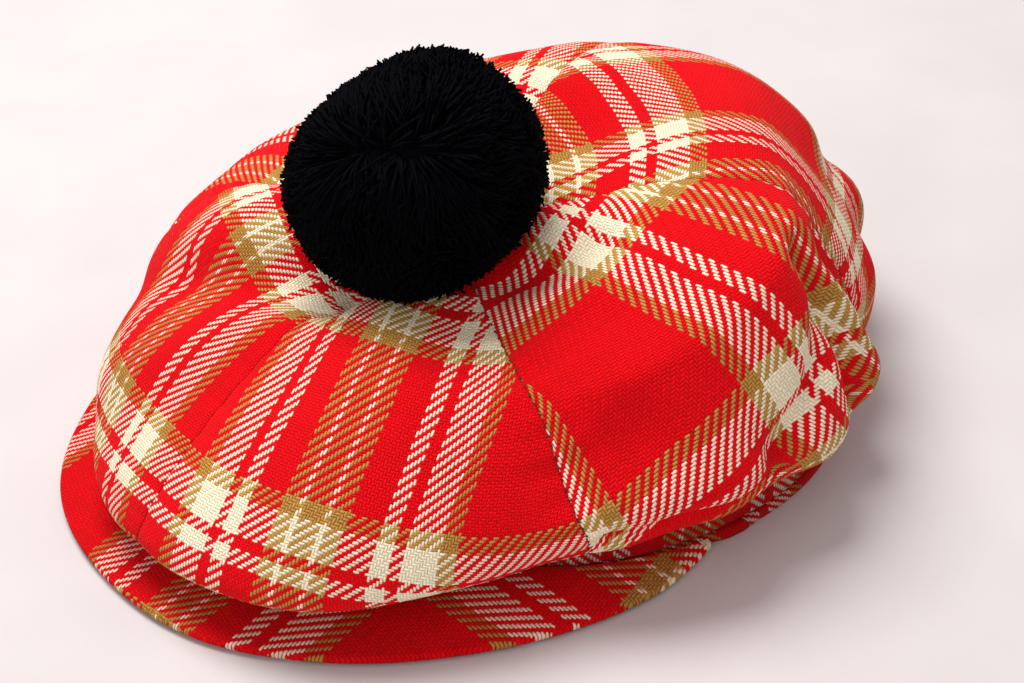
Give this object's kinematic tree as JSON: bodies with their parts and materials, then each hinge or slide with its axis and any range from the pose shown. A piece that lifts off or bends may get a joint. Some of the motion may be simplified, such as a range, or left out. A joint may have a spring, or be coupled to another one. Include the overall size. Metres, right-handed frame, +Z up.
{
  "type": "flat cap",
  "caption": "Puffy tartan flat cap: panelled crown gathered to a headband, crescent peak and a yarn pompom.",
  "frame": {"origin": "centre of the head opening, on the plane of the surface that the cap rests on", "axes": "+Z up out of the crown, -Y towards the front edge of the peak, +X to the wearer's left"},
  "size_m": [0.236, 0.2833, 0.1422],
  "materials": {
    "tartan_wool": "coarse twill tartan in red, cream and tan",
    "band_cloth": "the same tartan, in deep shade",
    "peak_cloth": "the same tartan over a board",
    "black_yarn": "cut wool yarn"
  },
  "bodies": {
    "root": {"crown_panel_front_right": "tartan_wool", "crown_panel_right": "tartan_wool", "crown_panel_back_right": "tartan_wool", "crown_panel_back_left": "tartan_wool", "crown_panel_left": "tartan_wool", "crown_panel_front_left": "tartan_wool", "headband": "band_cloth", "band_strip": "band_cloth", "peak": "peak_cloth", "pompom": "black_yarn"}
  },
  "joints": []
}
